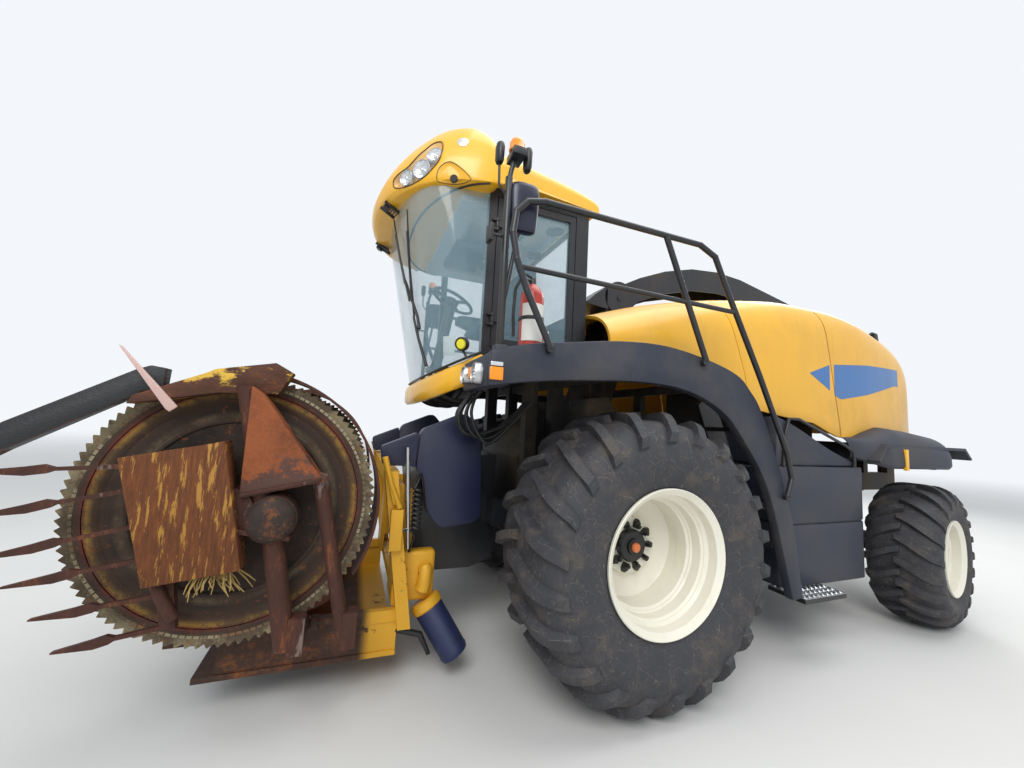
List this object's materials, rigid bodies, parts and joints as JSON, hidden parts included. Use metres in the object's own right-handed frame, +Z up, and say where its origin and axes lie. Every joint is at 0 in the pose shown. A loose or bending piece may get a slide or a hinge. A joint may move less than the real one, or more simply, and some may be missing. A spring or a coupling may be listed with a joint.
{
  "type": "forage harvester",
  "caption": "Self-propelled forage harvester with a glazed cab, a swivelling spout, wide tyres and a folding rotary header.",
  "frame": {"origin": "on the ground under the middle of the machine's box", "axes": "+X forward towards the header, +Y to the machine's left, +Z up"},
  "size_m": [8.85, 3.268, 3.85],
  "materials": {
    "yellow_paint": "gloss, dusty",
    "dark_plastic": "matte, dusty",
    "black_paint": "satin",
    "grey_steel": "oily",
    "rusty_steel": "rusty",
    "cream_paint": "satin",
    "tyre": "worn",
    "glass": "tinted",
    "lamp_glass": "clear",
    "liner": "textured",
    "seat_fabric": "woven",
    "red_paint": "gloss"
  },
  "bodies": {
    "chassis": {"main_frame": "black_paint", "frame_posts": "black_paint", "front_axle": "black_paint", "rear_axle": "black_paint", "engine_block": "grey_steel", "chopper_housing": "black_paint", "side_tanks": "dark_plastic", "platform_left": "dark_plastic", "platform_right": "dark_plastic", "ladder": "black_paint", "handrail_left": "black_paint", "handrail_right": "black_paint", "cab_frame": "black_paint", "cab_roof": "yellow_paint", "headliner": "liner", "roof_lamps": "lamp_glass", "windscreen": "glass", "cab_glass": "glass", "seat": "seat_fabric", "steering_column": "dark_plastic", "cab_nose": "yellow_paint", "corner_lamps": "lamp_glass", "mirror_left": "dark_plastic", "mirror_right": "dark_plastic", "extinguisher": "red_paint", "hood_front": "yellow_paint", "hood_rear": "yellow_paint", "rear_fenders": "dark_plastic", "rear_bumper": "black_paint", "spout_turret": "black_paint"},
    "front_wheel_left": {"front_tyre_left": "tyre", "front_rim_left": "cream_paint"},
    "front_wheel_right": {"front_tyre_right": "tyre", "front_rim_right": "cream_paint"},
    "knuckle_left": {"knuckle_left": "black_paint"},
    "knuckle_right": {"knuckle_right": "black_paint"},
    "rear_wheel_left": {"rear_tyre_left": "tyre", "rear_rim_left": "cream_paint"},
    "rear_wheel_right": {"rear_tyre_right": "tyre", "rear_rim_right": "cream_paint"},
    "cab_door": {"door_frame": "black_paint", "door_glass": "glass"},
    "hood_lid_left": {"hood_door_left": "yellow_paint"},
    "hood_lid_right": {"hood_door_right": "yellow_paint"},
    "spout_base": {"spout_base": "black_paint"},
    "spout_boom": {"spout_boom": "black_paint"},
    "spout_flap": {"spout_flap": "black_paint"},
    "header": {"feed_housing": "black_paint", "feed_covers": "dark_plastic", "header_frame": "yellow_paint", "header_drive": "yellow_paint"},
    "mid_drum_left": {"mid_drum_left": "rusty_steel"},
    "mid_drum_right": {"mid_drum_right": "rusty_steel"},
    "wing_left": {"wing_frame_left": "rusty_steel"},
    "wing_right": {"wing_frame_right": "rusty_steel"},
    "wing_drum_left": {"wing_drum_left": "rusty_steel"},
    "wing_drum_right": {"wing_drum_right": "rusty_steel"}
  },
  "joints": [
    {"name": "front_wheel_left_spin", "type": "hinge", "parent": "chassis", "child": "front_wheel_left", "pos_m": [0.825, 1.24, 0.9], "axis": [0, 1, 0], "continuous": true},
    {"name": "front_wheel_right_spin", "type": "hinge", "parent": "chassis", "child": "front_wheel_right", "pos_m": [0.825, -1.24, 0.9], "axis": [0, 1, 0], "continuous": true},
    {"name": "steer_left", "type": "hinge", "parent": "chassis", "child": "knuckle_left", "pos_m": [-2.555, 0.9, 0.65], "axis": [0, 0, 1], "range_deg": [-45, 25]},
    {"name": "rear_wheel_left_spin", "type": "hinge", "parent": "knuckle_left", "child": "rear_wheel_left", "pos_m": [-2.61144, 1.22006, 0.65], "axis": [-0.1736, 0.9848, 0], "continuous": true},
    {"name": "steer_right", "type": "hinge", "parent": "chassis", "child": "knuckle_right", "pos_m": [-2.555, -0.9, 0.65], "axis": [0, 0, 1], "range_deg": [-45, 25]},
    {"name": "rear_wheel_right_spin", "type": "hinge", "parent": "knuckle_right", "child": "rear_wheel_right", "pos_m": [-2.49856, -1.22006, 0.65], "axis": [-0.1736, 0.9848, 0], "continuous": true},
    {"name": "cab_door_hinge", "type": "hinge", "parent": "chassis", "child": "cab_door", "pos_m": [1.792, 0.88, 2.7], "axis": [0, 0, -1], "range_deg": [0, 55]},
    {"name": "hood_lid_left_hinge", "type": "hinge", "parent": "chassis", "child": "hood_lid_left", "pos_m": [-0.875, 0.783, 3.035], "axis": [1, 0, 0], "range_deg": [0, 75]},
    {"name": "hood_lid_right_hinge", "type": "hinge", "parent": "chassis", "child": "hood_lid_right", "pos_m": [-0.875, -0.783, 3.035], "axis": [-1, 0, 0], "range_deg": [0, 75]},
    {"name": "spout_turn", "type": "hinge", "parent": "chassis", "child": "spout_base", "pos_m": [0.205, 0, 2.74], "axis": [0, 0, 1], "range_deg": [-100, 100]},
    {"name": "spout_lift", "type": "hinge", "parent": "spout_base", "child": "spout_boom", "pos_m": [0.205, 0, 3.015], "axis": [0, 1, 0], "range_deg": [0, 35]},
    {"name": "spout_flap_tilt", "type": "hinge", "parent": "spout_boom", "child": "spout_flap", "pos_m": [-4.185, 0, 2.91], "axis": [0, -1, 0], "range_deg": [0, 60]},
    {"name": "header_lift", "type": "hinge", "parent": "chassis", "child": "header", "pos_m": [1.245, 0, 1], "axis": [0, -1, 0], "range_deg": [-1.5, 14]},
    {"name": "wing_fold_left", "type": "hinge", "parent": "header", "child": "wing_left", "pos_m": [2.725, 0.85, 0.47], "axis": [-1, 0, 0], "range_deg": [0, 90]},
    {"name": "wing_drum_left_spin", "type": "hinge", "parent": "wing_left", "child": "wing_drum_left", "pos_m": [3.18, 1, 1.165], "axis": [0, 1, 0], "continuous": true},
    {"name": "mid_drum_left_spin", "type": "hinge", "parent": "header", "child": "mid_drum_left", "pos_m": [2.945, 0.365, 0.3], "axis": [0, 0, 1], "continuous": true},
    {"name": "wing_fold_right", "type": "hinge", "parent": "header", "child": "wing_right", "pos_m": [2.725, -0.85, 0.47], "axis": [1, 0, 0], "range_deg": [0, 90]},
    {"name": "wing_drum_right_spin", "type": "hinge", "parent": "wing_right", "child": "wing_drum_right", "pos_m": [3.18, -1, 1.165], "axis": [0, 1, 0], "continuous": true},
    {"name": "mid_drum_right_spin", "type": "hinge", "parent": "header", "child": "mid_drum_right", "pos_m": [2.945, -0.365, 0.3], "axis": [0, 0, 1], "continuous": true}
  ],
  "couplings": [
    {"joint": "steer_right", "follows": "steer_left", "ratio": 1}
  ]
}
